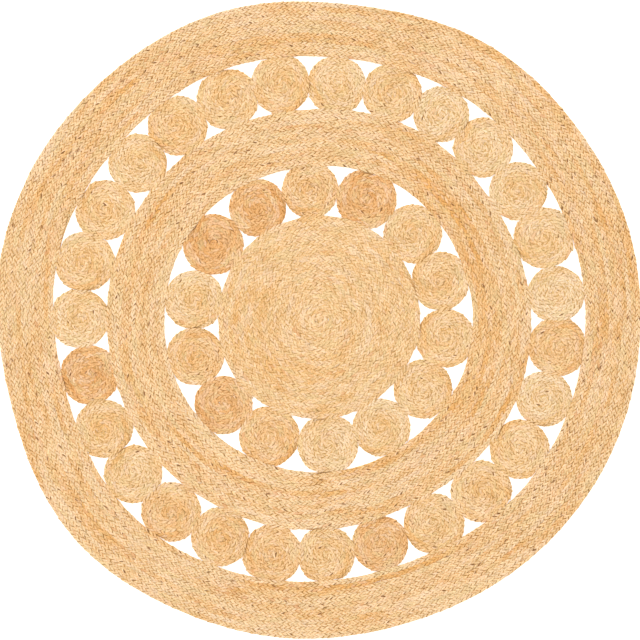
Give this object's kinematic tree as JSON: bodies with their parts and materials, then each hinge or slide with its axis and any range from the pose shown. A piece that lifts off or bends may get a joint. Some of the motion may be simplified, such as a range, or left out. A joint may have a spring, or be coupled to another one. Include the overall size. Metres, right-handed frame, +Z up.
{
  "type": "round jute rug",
  "caption": "Flat round rug of braided jute: a centre coil, two circles of small coils, a band between them and a wide border, sewn edge to edge with open gaps between coils.",
  "frame": {"origin": "centre of the rug's box, on its flat underside", "axes": "+Z up out of the rug's face; +X and +Y lie in the floor, +Y towards the picture's top edge"},
  "size_m": [1.499, 1.4846, 0.008],
  "materials": {
    "jute_pale": "dry braided jute, pale straw, matt",
    "jute_natural": "dry braided jute, natural tan, matt",
    "jute_golden": "dry braided jute, golden tan, matt",
    "jute_amber": "dry braided jute, amber tan, matt"
  },
  "bodies": {
    "root": {"centre_coil": "jute_natural", "inner_coil_01": "jute_natural", "inner_coil_02": "jute_natural", "inner_coil_03": "jute_amber", "inner_coil_04": "jute_golden", "inner_coil_05": "jute_amber", "inner_coil_06": "jute_amber", "inner_coil_07": "jute_pale", "inner_coil_08": "jute_golden", "inner_coil_09": "jute_amber", "inner_coil_10": "jute_golden", "inner_coil_11": "jute_pale", "inner_coil_12": "jute_pale", "inner_coil_13": "jute_natural", "inner_coil_14": "jute_natural", "band": "jute_natural", "outer_coil_01": "jute_pale", "outer_coil_02": "jute_pale", "outer_coil_03": "jute_pale", "outer_coil_04": "jute_pale", "outer_coil_05": "jute_pale", "outer_coil_06": "jute_natural", "outer_coil_07": "jute_pale", "outer_coil_08": "jute_natural", "outer_coil_09": "jute_natural", "outer_coil_10": "jute_natural", "outer_coil_11": "jute_pale", "outer_coil_12": "jute_natural", "outer_coil_13": "jute_natural", "outer_coil_14": "jute_pale", "outer_coil_15": "jute_amber", "outer_coil_16": "jute_natural", "outer_coil_17": "jute_pale", "outer_coil_18": "jute_golden", "outer_coil_19": "jute_golden", "outer_coil_20": "jute_golden", "outer_coil_21": "jute_natural", "outer_coil_22": "jute_amber", "outer_coil_23": "jute_natural", "outer_coil_24": "jute_natural", "outer_coil_25": "jute_natural", "outer_coil_26": "jute_pale", "outer_coil_27": "jute_golden", "border": "jute_natural"}
  },
  "joints": []
}
